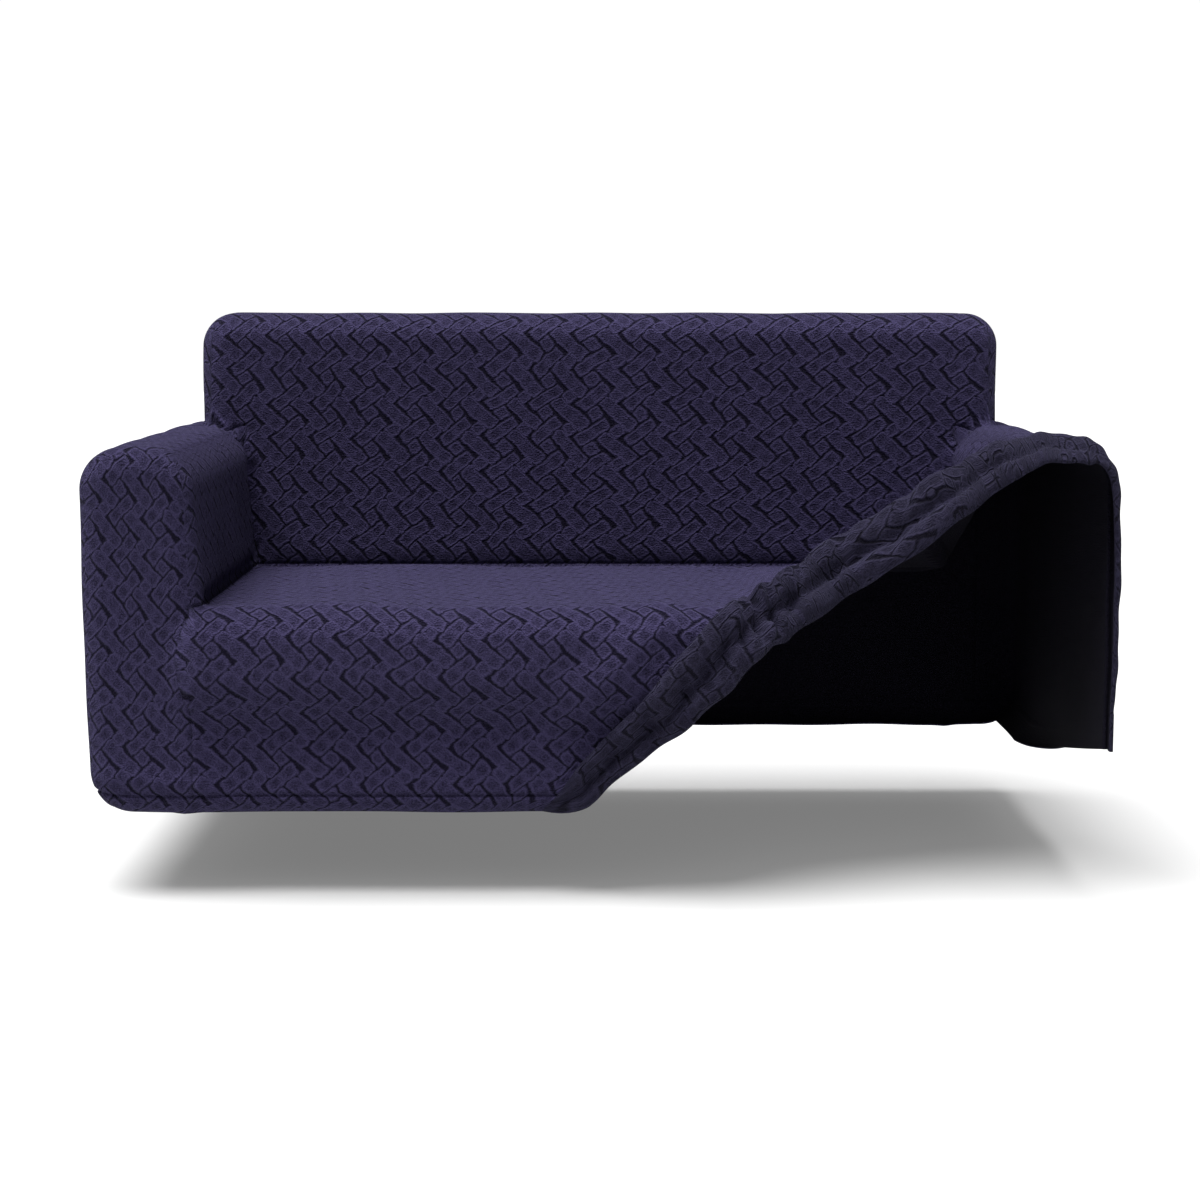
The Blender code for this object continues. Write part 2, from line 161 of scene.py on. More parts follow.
# Seat panel. The stretch jacquard knit lies over the seat and its rolled front edge, with a turned-under hem.
# At the right its hem is pulled up over the seat to the arm, so the cloth there bunches into a rope of folds
# that runs in the open air from the seat's edge to the arm.
seat_top, seat_half, seat_roll_from, nose = 0.302, 0.626, 0.150, 0.024
arm_top, arm_inner, arm_lean, side_lean, sides_at = 0.538, 0.603, 0.07, 0.010, {-1: 0.768, 1: 0.760}
back_face, back_half, back_top, back_lean = 0.585, 0.682, 0.7285, 0.05
base_half, depth, bottom = 0.640, 0.800, -0.010
hang_y, hang_z = 0.695, 0.725  # where the cover hangs, from the arms' fronts and 10 mm above the hem's fold
blocks = [
    # low and high x, y and z, the outline's and the front and rear edges' radius, softness of the joint, name
    (-base_half, base_half, 0.003, depth, bottom, 0.250, 0.020, 0.035, 0.010, "base"),
    (-seat_half, seat_half, -nose, 0.600, seat_roll_from, seat_top, 0.045, 0.050, 0.050, "cushion"),
    (-sides_at[-1], -arm_inner, 0.000, depth, bottom, arm_top, 0.065, 0.036, 0.010, "left_arm"),
    (arm_inner, sides_at[1], 0.000, depth, bottom, arm_top, 0.065, 0.036, 0.010, "right_arm"),
    (-back_half, back_half, back_face, depth, bottom, back_top, 0.055, 0.045, 0.008, "back"),
]
slope_step, settling_rounds = 0.0005, 8
tucks_and_folds = [
    # one end, the other end, half-width, height (below 0 is a tuck)
    ((-0.55, 0.578, seat_top), (0.55, 0.578, seat_top), 0.012, -0.006),
    ((-0.59, 0.06, seat_top), (-0.59, 0.53, seat_top), 0.016, -0.010),
    ((-0.60, back_face, 0.34), (-0.605, back_face, 0.46), 0.018, -0.010),
    ((0.60, back_face, 0.37), (0.605, back_face, 0.46), 0.014, -0.008),
    ((-0.13, -0.01, 0.06), (0.10, -0.02, 0.29), 0.020, 0.006),
    ((-0.18, -0.01, 0.10), (0.02, -0.02, 0.28), 0.024, -0.004),
    ((0.10, 0.02, 0.30), (0.02, 0.40, 0.30), 0.045, 0.006),
    ((0.20, 0.10, 0.31), (0.20, 0.50, 0.30), 0.040, -0.006),
    ((-0.72, 0.00, 0.05), (-0.58, 0.00, 0.03), 0.018, 0.005),
    ((-0.40, 0.05, 0.30), (-0.35, 0.50, 0.30), 0.090, 0.005),
    ((0.66, 0.20, 0.54), (0.63, 0.45, 0.54), 0.035, 0.005),
    ((0.205, 0.04, 0.310), (0.248, 0.20, 0.328), 0.011, 0.006),
    ((0.225, 0.05, 0.315), (0.278, 0.22, 0.335), 0.011, -0.005),
    ((0.262, 0.06, 0.325), (0.300, 0.25, 0.342), 0.012, 0.008),
    ((0.285, 0.07, 0.340), (0.325, 0.22, 0.355), 0.011, -0.006),
    ((0.310, 0.08, 0.355), (0.347, 0.20, 0.369), 0.012, 0.008),
    ((0.345, 0.09, 0.375), (0.380, 0.20, 0.385), 0.012, -0.005),
]
unevenness = 0.0008
hem_top = 0.045
hem_turn = [(0.000, hem_top), (0.000, 0.020), (0.004, 0.003), (0.014, -0.007), (0.036, bottom)]  # in, height
hem_fine = 12  # rows between two of those at the gathered edge
hem_skew, hem_skew_reach = 0.8, 0.12  # how much the hem leans where the gathered edge starts, and how far off
hem_hangs_free = 0.04  # how far an edge is raised where its hem no longer rests on the form
stitch_height, stitch_width, stitch_depth = 0.021, 0.0030, 0.0045
gathered_edge = np.array([
    # where the flat cloth starts to rise, width and lift of the folds, the way that they face
    (-0.045, -0.001, 0.045, 0.058, 0.015, 0.0, -1.0, 0.0),
    (-0.019, -0.002, 0.078, 0.054, 0.024, 0.0, -1.0, 0.0),
    (0.045, -0.008, 0.145, 0.066, 0.028, 0.0, -1.0, 0.0),
    (0.114, -0.024, 0.227, 0.083, 0.031, 0.0, -1.0, 0.1),
    (0.173, -0.004, 0.283, 0.086, 0.034, 0.0, -1.0, 0.4),
    (0.227, 0.050, 0.309, 0.086, 0.033, 0.0, -0.9, 0.6),
    (0.316, 0.082, 0.359, 0.088, 0.036, 0.0, -0.8, 0.8),
    (0.420, 0.094, 0.418, 0.087, 0.035, 0.0, -0.8, 0.9),
    (0.519, 0.098, 0.481, 0.085, 0.031, 0.0, -0.7, 1.0),
    (0.600, 0.096, 0.522, 0.082, 0.026, 0.0, -0.5, 1.0),
    (0.652, 0.092, 0.537, 0.092, 0.020, 0.0, -0.3, 1.0),
    (0.712, 0.088, 0.537, 0.090, 0.018, 0.2, -0.3, 1.0),
    (0.750, 0.084, 0.514, 0.078, 0.016, 0.8, -0.2, 0.6),
    (0.760, 0.074, 0.445, 0.064, 0.013, 1.0, -0.1, 0.0),
    (0.760, 0.062, 0.320, 0.052, 0.011, 1.0, 0.0, 0.0),
    (0.759, 0.052, 0.215, 0.044, 0.010, 1.0, 0.0, 0.0),
    (0.757, 0.046, 0.138, 0.038, 0.008, 1.0, 0.0, 0.0),
])
row_ahead = 0.05  # how far ahead and behind the edge's own way is read, in rows
at_arm = 9  # the gathered edge's row at the arm's inner side
rests_where = ((4.0, 1.0), (5.0, 0.0), (9.0, 0.0), (10.0, 1.0))  # row, how much its cloth rests on the form
fold_section = np.array([
    # share of the width, share of the lift
    (0.00, 0.00), (-0.04, 0.30), (-0.05, 0.68), (0.05, 0.98), (0.21, 1.03), (0.36, 0.90), (0.48, 0.55),
    (0.56, 0.48), (0.68, 0.78), (0.80, 0.88), (0.93, 0.68), (1.00, 0.30), (0.94, 0.05), (0.80, 0.02),
])
fold_points = hem_fine * (len(hem_turn) - 1) + 1
start_way, start_until, hem_until = (0.15, 0, -1), 1.5, 0.5  # how the folds leave the hem, until which row
lift_waves, width_waves = ((0.10, 5.1, 0), (0.06, 11.3, 1)), ((0.02, 7.7, 2),)  # height, rate, start
pleats = [
    # where a pleat across the gathered edge starts and ends along it, its half-width, its height in lifts
    (0.9, 0.55, 0.12, -0.25), (1.6, 1.1, 0.13, -0.35), (2.4, 1.75, 0.12, -0.50), (2.75, 2.1, 0.14, 0.15),
    (3.1, 2.35, 0.12, -0.45), (3.65, 2.7, 0.10, -0.35), (4.15, 3.1, 0.13, -0.65), (4.4, 3.3, 0.10, 0.20),
    (4.65, 3.5, 0.10, -0.45), (5.05, 3.85, 0.12, -0.75), (5.3, 4.1, 0.10, 0.25), (5.55, 4.35, 0.10, -0.55),
    (6.05, 4.85, 0.12, -0.50), (6.8, 5.6, 0.12, -0.30), (7.7, 6.5, 0.12, -0.30), (8.5, 7.4, 0.12, -0.25),
]
pleat_fades, pleat_rises = 1.3, 1.5  # 1 over the share of a section that a pleat crosses and rises in
front_share = 0.15  # the part of a hanging line that stands in for its front
hang_bend = 1.1  # above 1, hanging cloth sags
knee_back_from, knee_back_over = 0.20, 0.10  # the gathered edge's height where the cloth's knee moves back
bulge_over_arm, bulge_height, bulge_half_height = 0.016, 0.225, 0.07  # of the cushion, beside the arm's front
bulge_on_seat, bulge_on_arm = 0.04, 0.02  # how far from the seam the bulge moves the cloth
cloth_step, row_step = ((0.007, 0.07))
cloth_thickness, weld = 0.0025, 0.00005
plait_on_seat = (0.0712, 0.0568)  # one repeat of the woven plait, across and up
plait_slant, folds_stretch = 0.13, 1.3


def form_distance(points):
    """Distance from the form under the cloth: rounded blocks that blend into each other."""
    x, y, z = points[..., 0], points[..., 1], points[..., 2]
    total = None
    for x0, x1, y0, y1, z0, z1, outline_radius, end_radius, softness, name in blocks:
        if name == "left_arm":
            x0, x1 = x0 + side_lean * (arm_top - z), x1 + arm_lean * (arm_top - z)
        elif name == "right_arm":
            x0, x1 = x0 - arm_lean * (arm_top - z), x1 - side_lean * (arm_top - z)
        elif name == "back":
            y0 = y0 + back_lean * (z - seat_top)
        across = np.maximum(x0 - x, x - x1) + outline_radius
        up = np.maximum(z0 - z, z - z1) + outline_radius
        outline = np.hypot(np.maximum(across, 0), np.maximum(up, 0)) + np.minimum(np.maximum(across, up), 0)
        outline = outline - outline_radius + end_radius
        along = np.maximum(y0 - y, y - y1) + end_radius
        distance = np.hypot(np.maximum(outline, 0), np.maximum(along, 0))
        distance = distance + np.minimum(np.maximum(outline, along), 0) - end_radius
        if total is None:
            total = distance
        else:
            near = np.maximum(softness - np.abs(total - distance), 0) / softness
            total = np.minimum(total, distance) - near**2 * softness / 4
    return total


def unit(vectors):
    """Vectors made one long."""
    return vectors / np.maximum(np.linalg.norm(vectors, axis=-1, keepdims=True), 1e-9)


def outward(points):
    """The way straight out of the form at each point."""
    steps = np.eye(3) * slope_step
    slopes = [form_distance(points + step) - form_distance(points - step) for step in steps]
    return unit(np.stack(slopes, axis=-1))


def settle(points):
    """Points moved onto the form."""
    for _ in range(settling_rounds):
        points = points - form_distance(points)[..., None] * outward(points)
    return points


def creased(points):
    """Points raised and sunk along the folds and tucks, and a little uneven everywhere."""
    faces, lifted = outward(points), points.copy()
    for start, end, half_width_of_fold, height in tucks_and_folds:
        start, run = np.array(start), np.array(end) - np.array(start)
        along = np.clip((points - start) @ run / (run @ run), 0, 1)
        distance = np.linalg.norm(points - start - along[..., None] * run, axis=-1)
        lifted += (height * np.exp(-((distance / half_width_of_fold) ** 2)))[..., None] * faces
    x, y, z = np.moveaxis(points, -1, 0)
    waves = np.sin(31 * x + 13 * z + 2) * np.sin(23 * z + 19 * y) + np.sin(17 * x - 29 * y + 11 * z)
    return lifted + unevenness * waves[..., None] * faces


def fitted(points):
    """Points settled on the form, then creased."""
    return creased(settle(np.array(points, dtype=float)))


def stations(*corners, step=cloth_step):
    """Evenly spaced numbers that pass through the corners."""
    runs = [[corners[0]]]
    for a, b in zip(corners, corners[1:]):
        runs.append(np.linspace(a, b, max(2, round(abs(b - a) / step) + 1))[1:])
    return np.concatenate(runs)


def lengths_along(points, axis=0):
    """Distance walked along a net's lines, from 0 at their first points."""
    steps = np.linalg.norm(np.diff(points, axis=axis), axis=-1)
    return np.concatenate([np.zeros_like(steps.take([0], axis)), np.cumsum(steps, axis=axis)], axis=axis)


def along_curve(table, positions):
    """A table's rows at fractional positions, on smooth curves through its rows."""
    last = len(table) - 1
    index = np.minimum(positions.astype(int), last - 1)
    part = (positions - index)[:, None]
    p0, p1 = table[np.maximum(index - 1, 0)], table[index]
    p2, p3 = table[index + 1], table[np.minimum(index + 2, last)]
    bend, twist = 2 * p0 - 5 * p1 + 4 * p2 - p3, 3 * p1 - p0 - 3 * p2 + p3
    return 0.5 * (2 * p1 + (p2 - p0) * part + bend * part**2 + twist * part**3)


def rested(positions):
    """How much the cloth rests on the form at places along the gathered edge."""
    return np.interp(positions, *zip(*rests_where))[:, None]


def gather_starts(positions):
    """Where the flat cloth starts to rise into the gathered edge."""
    points = along_curve(gathered_edge, positions)[:, :3]
    return points + (fitted(points) - points) * rested(positions)


def hem_rows(edge, fine):
    """The hem below a row of points, turned under. Where its edge is raised it hangs straight."""
    facing = unit(outward(edge) * np.array((1, 1, 0)))
    held = 1 - np.clip((edge[:, 2] - hem_top) / hem_hangs_free, 0, 1)[:, None]
    from_gathers = np.hypot(edge[:, 0] - gathered_edge[0][0], edge[:, 1])
    skew = hem_skew * np.clip(1 - from_gathers / hem_skew_reach, 0, 1)
    inwards, height = np.array(hem_turn).T
    corners = range(len(hem_turn))
    places = np.linspace(0, len(hem_turn) - 1, fine * (len(hem_turn) - 1) + 1)
    inwards, drop = (np.interp(places, corners, column)[:, None] for column in (inwards, height - hem_top))
    rows = edge + drop[..., None] * np.array((0, 0, 1))
    rows[..., 0] += skew * drop
    rows = rows + (fitted(rows - facing * inwards[..., None]) - rows) * held
    stitched = stitch_depth * np.exp(-(((drop + hem_top - stitch_height) / stitch_width) ** 2))[..., None]
    return rows - facing * held * stitched


def hem_of(edge, flat_edge, down, fine=6):
    """The hem below an edge and its place on the flat cloth, which runs on down from the edge."""
    rows = hem_rows(edge, fine)
    return rows, flat_edge + np.array(down) * lengths_along(rows)[..., None]


def wavering(positions, waves):
    """A factor near 1 that goes up and down along the gathered edge."""
    factor = 1
    for height, rate, start in waves:
        factor = factor + height * np.sin(positions * rate + start)
    return factor


def gather_sections(positions):
    """Sections across the gathered edge, from the flat cloth to the hem that is curled under it."""
    rows, last = along_curve(gathered_edge, positions), len(gathered_edge) - 1
    ahead = along_curve(gathered_edge, np.minimum(positions + row_ahead, last))
    way = (ahead - along_curve(gathered_edge, np.maximum(positions - row_ahead, 0)))[:, :3]
    starting = np.maximum(0.0, 1 - positions / start_until)[:, None]
    across = unit(unit(np.cross(way, rows[:, 5:8])) * (1 - starting) + np.array(start_way) * starting)
    face = unit(np.cross(across, way))
    width, lift = rows[:, 3] * wavering(positions, width_waves), rows[:, 4] * wavering(positions, lift_waves)
    starts = gather_starts(positions)
    section = along_curve(fold_section, np.linspace(0, len(fold_section) - 1, fold_points))
    over, up = section.T[:, None, :, None]
    walked = np.linspace(0, 1, fold_points)
    pleat_shape = np.sin(math.pi * np.clip(walked * pleat_fades, 0, 1)) ** 0.5
    puff = np.zeros((len(positions), fold_points))
    for begins, ends, half_width_of_pleat, height in pleats:
        reach = (positions[:, None] - begins - (ends - begins) * walked) / half_width_of_pleat
        puff += height * np.exp(-(reach**2)) * pleat_shape
    sections = starts[:, None] + (across * width[:, None])[:, None] * over
    sections += (face * lift[:, None])[:, None] * (up + puff[..., None] * np.clip(up * pleat_rises, 0, 1))
    turned = hem_rows(starts, hem_fine).transpose(1, 0, 2)
    return sections + (turned - sections) * np.maximum(0.0, 1 - positions / hem_until)[:, None, None] ** 2


def beyond_edge(edge_flat):
    """On the flat cloth, the way straight out over an edge."""
    way = unit(np.gradient(edge_flat, axis=0))
    return np.stack([way[:, 1], -way[:, 0]], axis=-1)


def folds_on_flat(folds, edge_flat, beyond):
    """The folds' place on the flat cloth, straight out from the edge that they rise from."""
    out = lengths_along(folds, axis=1).mean(axis=0)[:, None]
    return edge_flat[:, None] + beyond[:, None] * out * folds_stretch


def hanging_lines(starts, rears, places):
    """Lines of cloth from the gathered edge to the rear, which drop towards the seat as they go back."""
    places = places[None, :, None]
    points = starts[:, None] + (rears - starts)[:, None] * places
    points[..., 2:] = rears[:, None, 2:] + (starts - rears)[:, None, 2:] * (1 - places) ** hang_bend
    return points


def laid(points, positions):
    """Lines from the gathered edge, at rest on the form at the rear and wherever else the cloth rests."""
    rests = np.maximum(rested(positions), np.clip(2 * points[..., 1] / back_face - 1, 0, 1))
    points = points + (settle(points) - points) * rests[..., None]
    inside = np.minimum(form_distance(points), 0)
    points = creased(points - inside[..., None] * outward(points))
    points[:, 0] = gather_starts(positions)
    return points


front_places = stations(0, seat_top - hem_top) / (seat_top - hem_top)
deck_places = stations(0, back_face) / back_face
hanging_deck = front_share + (1 - front_share) * deck_places[1:]
hanging_places = np.concatenate([front_share * front_places, hanging_deck])


def at_rear(x):
    """Where a line from the gathered edge reaches the back, so that they fill the seat's width."""
    return x * arm_inner / gathered_edge[at_arm][0]


def seat_lines(positions):
    """The seat's lines that start at the gathered edge, up the front and over the deck, or hanging."""
    starts = along_curve(gathered_edge, positions)[:, :3]
    rears = np.stack([at_rear(starts[:, 0]), 0 * positions + back_face, 0 * positions + seat_top], axis=-1)
    back = np.clip((starts[:, 2] - knee_back_from) / knee_back_over, 0, 1)
    knee_y = -nose + back * (starts[:, 1] + front_share * back_face + nose)
    knees = np.stack([starts[:, 0], knee_y, 0 * positions + seat_top], axis=-1)
    apron = starts[:, None] + (knees - starts)[:, None] * front_places[:, None]
    deck = knees[:, None] + (rears - knees)[:, None] * deck_places[1:, None]
    resting = np.concatenate([apron, deck], axis=1)
    hangs = (starts[:, 2] > seat_top)[:, None, None]
    return laid(np.where(hangs, hanging_lines(starts, rears, hanging_places), resting), positions)


def seam_shift(z):
    """How far the cushion's bulge pushes its seam over the left arm's front, at a height."""
    return bulge_over_arm * max(0.0, 1 - abs(z - bulge_height) / bulge_half_height)


def in_repeats(plait_size, nets):
    """Nets with their places on the flat cloth given in repeats of the plait."""
    return [(points, flat / np.array(plait_size), *folded) for points, flat, *folded in nets]


def cut_from(name, nets):
    """A panel of cloth from nets of points and of their places on the flat cloth, with its thickness."""
    bm = bmesh.new()
    plait = bm.loops.layers.uv.new("plait")
    for points, flat, *folded in nets:
        rows, columns = points.shape[:2]
        verts = [[bm.verts.new(points[i, j]) for j in range(columns)] for i in range(rows)]
        for i in range(rows - 1):
            for j in range(columns - 1):
                corners = ((i, j), (i, j + 1), (i + 1, j + 1), (i + 1, j))
                face = bm.faces.new([verts[a][b] for a, b in corners])
                # folded nets take the darker copy of the knit, which is painted shade; the rest take the face
                face.material_index = 2 if folded else 0
                for loop, (a, b) in zip(face.loops, corners):
                    loop[plait].uv = flat[a, b]
    bmesh.ops.remove_doubles(bm, verts=bm.verts, dist=weld)
    bmesh.ops.recalc_face_normals(bm, faces=bm.faces)
    centres = np.array([face.calc_center_median() for face in bm.faces])
    normals = np.array([face.normal for face in bm.faces])
    if (normals * outward(centres)).sum() < 0:
        bmesh.ops.reverse_faces(bm, faces=bm.faces)
    bmesh.ops.translate(bm, verts=bm.verts, vec=(0, -hang_y, -hang_z))
    mesh = bpy.data.meshes.new(name)
    bm.to_mesh(mesh)
    bm.free()
    mesh.shade_smooth()
    # the slots: face, reverse, folds and their reverse; the reverse is painted near black and the folds
    # darker, both painted shade
    for material in (knit_face, knit_reverse_painted_shade, knit_folds_painted_shade, knit_reverse_painted_shade):
        mesh.materials.append(material)
    panel = bpy.data.objects.new(name, mesh)
    bpy.context.scene.collection.objects.link(panel)
    cloth = panel.modifiers.new("thickness", "SOLIDIFY")
    cloth.thickness, cloth.offset, cloth.material_offset = cloth_thickness, -1, 1
    bpy.context.view_layer.update()
    finished = bpy.data.meshes.new_from_object(panel.evaluated_get(bpy.context.evaluated_depsgraph_get()))
    panel.modifiers.clear()
    panel.data = finished
    return panel


drifts = ((0.8, 0.22), (5.0, 0.065))  # how the plait wanders: scale, reach
repeat_height = 0.77  # of a repeat in which a bar's sizes are given, whose width is 1
plait_bars = [
    # centre in the repeat, its direction, half-length and half-width of the raised yarn, how deep its middle
    # is sunk, how much of that is in eyes, how many of them
    ((0.00, 0.00), (0.793, 0.611), 0.372, 0.120, 0.54, 0.60, 2),
    ((0.505, 0.515), (0.720, -0.694), 0.445, 0.143, 0.46, 0.40, 3),
    ((0.00, 0.51), (0.793, 0.611), 0.126, 0.126, 0.40, 0.0, 1),
    ((0.50, 0.03), (0.793, 0.611), 0.126, 0.126, 0.40, 0.0, 1),
]
bar_rounding, bar_edge, middle_edge = 0.09, (-0.045, 0.012), (0.010, 0.060)
loop_scale, loop_detail, loop_relief, reverse_relief = 23.0, 3.0, 1.40, 0.3
# the span of the relief over which the colour runs from painted shade in the grooves to a painted highlight
# on the rims, and the bumps' depth
painted_light_range, relief_depth = (0.0, 1.10), 0.0080


def jacquard(name, valley_painted_shade, peak_painted_highlight, face_side=True):
    """The navy stretch jacquard: raised plait on its face, plain loops on its reverse."""
    material = bpy.data.materials.new(name)
    material.use_nodes = True
    Shade.tree = material.node_tree
    place = Shade(Shade.node("ShaderNodeUVMap", {"uv_map": "plait"}).outputs[0])
    drift = place
    for scale, reach in drifts:
        noise = Shade.node(
            "ShaderNodeTexNoise", {"noise_dimensions": "2D"}, {"Vector": place, "Scale": scale, "Detail": 1.0}
        )
        moved = {0: Shade(noise.outputs["Color"]), 1: (reach, reach, 0), 2: drift}
        drift = Shade(Shade.node("ShaderNodeVectorMath", {"operation": "MULTIPLY_ADD"}, moved).outputs[0])
    apart = Shade.node("ShaderNodeSeparateXYZ", (), {"Vector": drift})
    across, up = Shade(apart.outputs[0]), Shade(apart.outputs[1])

    height = None
    for centre, way, half_length, half_width_of_bar, sunk, in_eyes, eyes in plait_bars:
        a = Shade.sum_of("FRACT", across + (0.5 - centre[0])) - 0.5
        b = (Shade.sum_of("FRACT", up + (0.5 - centre[1])) - 0.5) * repeat_height
        along, over = a * way[0] + b * way[1], b * way[0] - a * way[1]
        to_end, to_side = half_length - abs(along), half_width_of_bar - abs(over)
        inside = Shade.sum_of("SMOOTH_MIN", to_end, to_side, bar_rounding)
        middle = inside.above(*middle_edge) * sunk
        if in_eyes:
            spots = Shade.sum_of("COSINE", (along + half_length) * (math.pi * eyes / half_length))
            middle = middle * (1 - in_eyes * 0.5 - spots * (in_eyes * 0.5))
        raised = inside.above(*bar_edge) * (1 - middle)
        height = raised if height is None else Shade.sum_of("MAXIMUM", height, raised)
    loop_sizes = {"Vector": place, "Scale": loop_scale, "Detail": loop_detail}
    loops = Shade(Shade.node("ShaderNodeTexNoise", (), loop_sizes).outputs["Fac"])
    if not face_side:
        height = loops * reverse_relief
    relief = height + (loops - 0.5) * loop_relief

    # the base colour follows the relief: painted shade in the plait's grooves and sunk middles, a painted
    # highlight on the bars' rims, and the loops' own random tone
    painted_light_colours = {0: relief.above(*painted_light_range), 6: (*valley_painted_shade, 1), 7: (*peak_painted_highlight, 1)}
    painted_relief_light = Shade.node("ShaderNodeMix", {"data_type": "RGBA"}, painted_light_colours)
    bump = Shade.node("ShaderNodeBump", (), {"Height": relief, "Strength": 1.0, "Distance": relief_depth})
    shader = material.node_tree.nodes["Principled BSDF"]
    material.node_tree.links.new(painted_relief_light.outputs[2], shader.inputs["Base Color"])
    material.node_tree.links.new(bump.outputs[0], shader.inputs["Normal"])
    shader.inputs["Roughness"].default_value = 0.85
    shader.inputs["Specular IOR Level"].default_value = 0.08
    shader.inputs["Sheen Weight"].default_value = 0.06 if face_side else 0.0
    shader.inputs["Sheen Roughness"].default_value = 0.22
    shader.inputs["Sheen Tint"].default_value = (0.52, 0.50, 0.90, 1)
    return material


# each knit's two colours: painted shade for its low places, then a painted highlight for its high places
knit_face = jacquard("navy_jacquard_face", (0.0040, 0.0026, 0.0125), (0.0480, 0.0400, 0.1020))
# a darker, flatter copy of the face knit for the rope of folds: painted shade
knit_folds_painted_shade = jacquard("navy_jacquard_folds_painted_shade", (0.0032, 0.0024, 0.0085), (0.0255, 0.0225, 0.0490))
# the reverse: the knit's own dark navy painted darker still, painted shade on the cloth's underside
knit_reverse_painted_shade = jacquard("navy_jacquard_reverse_painted_shade", (0.006, 0.005, 0.012), (0.011, 0.01, 0.02), face_side=False)

flat_x = stations(-arm_inner, gathered_edge[0][0])
flat_lines = len(flat_x) - 1  # the lines before the gathered edge's own
front_z, deck_y = stations(hem_top, seat_top), stations(0, back_face)[1:]
lines, bulges = [], []
for x in flat_x[:-1]:
    tucked = max(0.0, 1 - (x + arm_inner) / bulge_on_seat)
    bulges.append([-seam_shift(z) * tucked for z in front_z])
    front_y = [0 if z < seat_roll_from or x == -arm_inner else -nose for z in front_z]
    front = [(x + shift, y, z) for shift, y, z in zip(bulges[-1], front_y, front_z)]
    lines.append(front + [(x, y, seat_top) for y in deck_y])
positions = stations(0, at_arm, step=row_step)
sheet = np.concatenate([fitted(lines), seat_lines(positions)]).transpose(1, 0, 2)
from_rear = lengths_along(sheet[::-1])[::-1]
from_rear[:, :flat_lines] = from_rear[:, len(flat_x) // 2, None]
line_x = np.concatenate([flat_x[:-1], at_rear(along_curve(gathered_edge, positions)[:, 0])])
bulge = np.zeros(from_rear.shape)
bulge[: len(front_z), :flat_lines] = np.array(bulges).T
seat_flat = np.stack([line_x + bulge - plait_slant * from_rear, -from_rear], axis=-1)
hem, hem_flat = hem_of(sheet[0, : flat_lines + 1], seat_flat[0, : flat_lines + 1], (0, -1), hem_fine)
folds, edge_flat = gather_sections(positions), seat_flat[0, flat_lines:]
folds_flat = folds_on_flat(folds, edge_flat, beyond_edge(edge_flat))
nets = [(sheet, seat_flat), (hem, hem_flat), (folds, folds_flat, "folded")]
seat_panel = cut_from("seat_cover_panel", in_repeats(plait_on_seat, nets))
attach(seat_panel, "root")
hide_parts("seat_panel")

# Left arm panel. One cut of the same knit wraps the left arm's inner side, top and outer side and turns round
# its front and its rear, where it is sewn to the back. Its hem turns under with the seat's.
plait_on_arm = (0.0646, 0.0577)
front_spread, front_fan = 0.10, 0.6  # how the plait tightens away from the seam, and more with height
x_over_arm = {side: stations(arm_inner, back_half, sides_at[side]) for side in (-1, 1)}
z_inner, z_outer = stations(seat_top, arm_top), stations(hem_top, seat_top, arm_top)
y_arm, y_rear = stations(0, back_face), stations(back_face, hang_y, depth)
shoulder = len(stations(arm_inner, back_half)) - 1
outer_from = len(z_inner) - 1 + shoulder  # the corner of an arm's section beside the back's end


def arm_corners(side):
    """The corners of an arm's section, from the seat up, over its top and down to the hem."""
    inner = [(side * arm_inner, z) for z in z_inner]
    top = [(side * x, arm_top) for x in x_over_arm[side][1:]]
    return inner + top + [(side * sides_at[side], z) for z in z_outer[-2::-1]]


def grid(place, rows, columns):
    """A net of fitted cloth from the place of each row and column."""
    return fitted([[place(row, column) for column in columns] for row in rows])


def arm_place(corner, y):
    """A place on an arm, from a corner of its section and how far back it is."""
    return corner[0], y, corner[1]


def over_and_back(walked, rearwards):
    """An arm's place on the flat cloth, from the lengths walked over it and rearwards."""
    return np.stack([np.broadcast_to(walked[:, None], rearwards.shape), rearwards], axis=-1)


def arm_rear(side, walked):
    """An arm behind the back's front face: its outer top and side, and the return across its rear."""
    outer = grid(arm_place, arm_corners(side)[outer_from:], y_rear)
    outer_flat = over_and_back(walked[outer_from:], lengths_along(outer, 1))
    rear = grid(lambda z, x: (side * x, depth, z), z_outer, x_over_arm[side][shoulder:])
    rear_flat = np.stack([side * rear[..., 0], rear[..., 2]], axis=-1)
    return [(outer, outer_flat), (rear, rear_flat), hem_of(outer[-1], outer_flat[-1], (1, 0)),
            hem_of(rear[0], rear_flat[0], (0, -1))]


def front_place(z, x):
    """A place on the left arm's front, which starts beside the cushion's bulge."""
    return -x - seam_shift(z) * max(0.0, 1 - (x - arm_inner) / bulge_on_arm), 0, z


sides = grid(arm_place, arm_corners(-1), y_arm)
walked, rearwards = lengths_along(sides)[:, -1], lengths_along(sides, 1)
sides_flat = over_and_back(walked, rearwards - rearwards[:, -1:])
front = grid(front_place, z_outer, x_over_arm[-1])
from_seam = np.minimum(front[..., 0] + arm_inner, 0)
front_up = front[..., 2] - hem_top + seat_flat[0, 0, 1]
front_across = front[..., 0] + front_spread * from_seam + plait_slant * front_up
front_flat = np.stack([front_across + front_fan * from_seam * front[..., 2], front_up], axis=-1)
front_nets = [(front, front_flat), hem_of(front[0], front_flat[0], (0, -1))]
side_nets = [(sides, sides_flat), hem_of(sides[-1], sides_flat[-1], (1, 0)), *arm_rear(-1, walked)]
nets = in_repeats(plait_on_seat, front_nets) + in_repeats(plait_on_arm, side_nets)
left_arm_panel = cut_from("left_arm_cover_panel", nets)
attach(left_arm_panel, "root")
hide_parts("left_arm_panel")

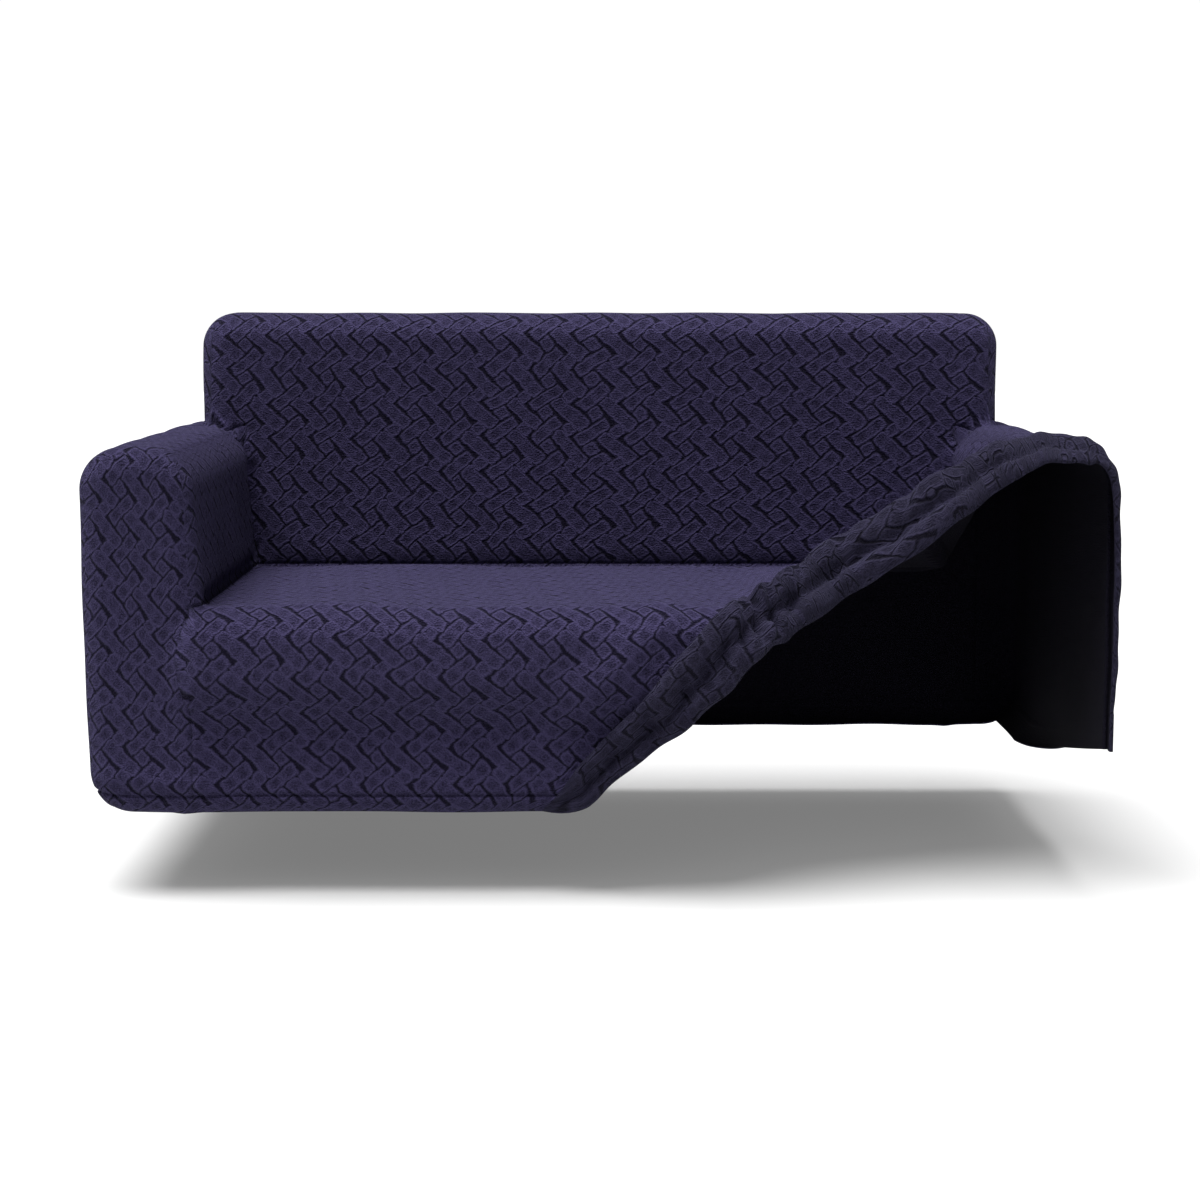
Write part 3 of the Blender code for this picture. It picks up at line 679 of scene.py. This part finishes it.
# Right arm panel. The same cut on the right, but its front is the last stretch of the pulled-up hem, which
# crosses the arm's top and hangs down its outer side as a narrow rope of folds.
corners = arm_corners(1)
turns = [0, len(z_inner) - 1, len(z_inner) + len(x_over_arm[1]) - 2, len(corners) - 1]
rows_at_turns = [at_arm, 10.2, 12.0, 16]  # the gathered edge's rows where the arm's section turns
arm_positions = np.interp(range(len(corners)), turns, rows_at_turns)
starts = along_curve(gathered_edge, arm_positions)[:, :3]
rears = np.array([(x, back_face, z) for x, z in corners])
sides = laid(hanging_lines(starts, rears, hanging_places), arm_positions)
walked, rearwards = lengths_along(sides)[:, -1], lengths_along(sides, 1)
sides_flat = over_and_back(arm_inner + walked, rearwards - rearwards[:, -1:])
hem, hem_flat = hem_of(sides[-1], sides_flat[-1], (1, 0))
folds, edge_flat = gather_sections(arm_positions), sides_flat[:, 0]
beyond = beyond_edge(edge_flat)
# the folds run on down beside the raised hem
folds = np.concatenate([folds, folds[-1] + (hem[1:, :1] - sides[-1][:1])])
edge_flat = np.concatenate([edge_flat, hem_flat[1:, 0]])
beyond = np.concatenate([beyond, np.repeat(beyond[-1:], len(hem) - 1, axis=0)])
folds_flat = folds_on_flat(folds, edge_flat, beyond)
nets = [(sides, sides_flat), (folds, folds_flat, "folded"), (hem, hem_flat), *arm_rear(1, walked)]
right_arm_panel = cut_from("right_arm_cover_panel", in_repeats(plait_on_arm, nets))
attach(right_arm_panel, "root")
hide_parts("right_arm_panel")

# Back panel. One wide cut runs up the inside back, over its top and down the outside back to the hem, and
# round both ends down to the arms.
plait_on_back = (0.0785, 0.0588)
# the cloth lies a little tighter towards the left: places across the back, and across the flat cloth
places_across, flat_across = (-0.80, -0.44, -0.19, 0.80), (-0.86, -0.455, -0.19, 0.80)
z_back = stations(arm_top, back_top)
x_seat, x_all = stations(-arm_inner, arm_inner), stations(-back_half, -arm_inner, arm_inner, back_half)


def up_middle(points):
    """The length walked along the middle line of a net."""
    return lengths_along(points)[:, points.shape[1] // 2]


def on_flat(points, up):
    """A net's place on the flat cloth."""
    across = np.interp(points[..., 0], places_across, flat_across)
    return np.stack([across, np.broadcast_to(up[:, None], points.shape[:2])], axis=-1)


inside = grid(lambda z, x: (x, back_face, z), z_inner, x_seat)
upper = grid(lambda z, x: (x, back_face, z), z_back, x_all)
over_top = grid(lambda y, x: (x, y, back_top), y_rear, x_all)
behind = grid(lambda z, x: (x, depth, z), np.concatenate([z_outer, z_back[1:]]), x_all)
inside_up = up_middle(inside)
upper_up = inside_up[-1] + up_middle(upper)
top_up = upper_up[-1] + up_middle(over_top)
behind_up = top_up[-1] + up_middle(behind)[-1] - up_middle(behind)
behind_flat = on_flat(behind, behind_up)
nets = [
    (inside, on_flat(inside, inside_up)), (upper, on_flat(upper, upper_up)),
    (over_top, on_flat(over_top, top_up)), (behind, behind_flat), hem_of(behind[0], behind_flat[0], (0, 1)),
]
for side in (-1, 1):
    end = grid(lambda z, y: (side * back_half, y, z), z_back, y_rear)
    end_across, end_up = side * (back_half + lengths_along(end, 1)), inside_up[-1] + lengths_along(end)
    nets.append((end, np.stack([end_across, end_up], axis=-1)))
back_panel = cut_from("back_cover_panel", in_repeats(plait_on_back, nets))
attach(back_panel, "root")
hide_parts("back_panel")
